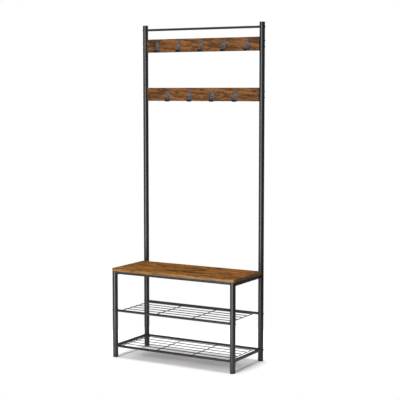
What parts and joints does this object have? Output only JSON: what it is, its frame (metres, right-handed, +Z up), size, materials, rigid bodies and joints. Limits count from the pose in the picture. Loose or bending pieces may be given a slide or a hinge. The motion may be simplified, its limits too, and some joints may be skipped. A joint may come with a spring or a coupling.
{
  "type": "hall tree",
  "caption": "Hall tree: slim black tube frame with a wood bench over two wire shoe shelves, and tall back posts that carry two rows of coat hooks on wood boards.",
  "frame": {"origin": "centre of the footprint, on the floor under the feet", "axes": "+X to the right, +Y to the back where the tall posts are, +Z up"},
  "size_m": [0.7382, 0.333, 1.75],
  "materials": {
    "black_powder_coat": "fine satin powder coat",
    "bench_wood": "rustic brown wood grain, matt",
    "board_wood": "darker rustic brown wood grain, matt",
    "hook_enamel": "satin grey-black enamel",
    "black_fasteners": "blackened steel",
    "zinc_steel": "bright zinc",
    "black_plastic": "moulded, fine texture",
    "foot_plastic": "moulded, fine texture"
  },
  "bodies": {
    "root": {"left_front_leg": "black_powder_coat", "right_front_leg": "black_powder_coat", "left_lower_post": "black_powder_coat", "right_lower_post": "black_powder_coat", "left_upper_post": "black_powder_coat", "right_upper_post": "black_powder_coat", "left_post_coupler": "zinc_steel", "right_post_coupler": "zinc_steel", "left_post_cap": "black_plastic", "right_post_cap": "black_plastic", "left_side_rail": "black_powder_coat", "right_side_rail": "black_powder_coat", "left_bottom_side_tube": "black_powder_coat", "right_bottom_side_tube": "black_powder_coat", "front_bench_rail": "black_powder_coat", "back_bench_rail": "black_powder_coat", "bench_board": "bench_wood", "middle_shelf_front_rod": "black_powder_coat", "middle_shelf_back_rod": "black_powder_coat", "bottom_shelf_front_rod": "black_powder_coat", "bottom_shelf_back_rod": "black_powder_coat", "middle_wire_shelf": "black_powder_coat", "bottom_wire_shelf": "black_powder_coat", "top_rod": "black_powder_coat", "upper_hook_board": "board_wood", "lower_hook_board": "board_wood", "upper_hook_1": "hook_enamel", "upper_hook_2": "hook_enamel", "upper_hook_3": "hook_enamel", "upper_hook_4": "hook_enamel", "upper_hook_5": "hook_enamel", "lower_hook_1": "hook_enamel", "lower_hook_2": "hook_enamel", "lower_hook_3": "hook_enamel", "lower_hook_4": "hook_enamel", "upper_hook_screws": "black_fasteners", "lower_hook_screws": "black_fasteners", "hook_board_bolts": "black_fasteners", "hook_board_inserts": "zinc_steel", "shelf_rod_bolts": "black_fasteners", "shelf_rod_inserts": "zinc_steel", "top_rod_bolts": "black_fasteners", "top_rod_inserts": "zinc_steel", "bench_rail_screws": "black_fasteners", "side_rail_screws": "black_fasteners", "front_left_leg_plug": "black_plastic", "front_right_leg_plug": "black_plastic", "back_left_leg_plug": "black_plastic", "back_right_leg_plug": "black_plastic"},
    "front_left_foot": {"front_left_foot_pad": "foot_plastic", "front_left_foot_stud": "zinc_steel"},
    "front_right_foot": {"front_right_foot_pad": "foot_plastic", "front_right_foot_stud": "zinc_steel"},
    "back_left_foot": {"back_left_foot_pad": "foot_plastic", "back_left_foot_stud": "zinc_steel"},
    "back_right_foot": {"back_right_foot_pad": "foot_plastic", "back_right_foot_stud": "zinc_steel"}
  },
  "joints": [
    {"name": "front_left_foot_height", "type": "slide", "parent": "root", "child": "front_left_foot", "axis": [0, 0, -1], "range_m": [-0.0015, 0.01]},
    {"name": "front_right_foot_height", "type": "slide", "parent": "root", "child": "front_right_foot", "axis": [0, 0, -1], "range_m": [-0.0015, 0.01]},
    {"name": "back_left_foot_height", "type": "slide", "parent": "root", "child": "back_left_foot", "axis": [0, 0, -1], "range_m": [-0.0015, 0.01]},
    {"name": "back_right_foot_height", "type": "slide", "parent": "root", "child": "back_right_foot", "axis": [0, 0, -1], "range_m": [-0.0015, 0.01]}
  ]
}
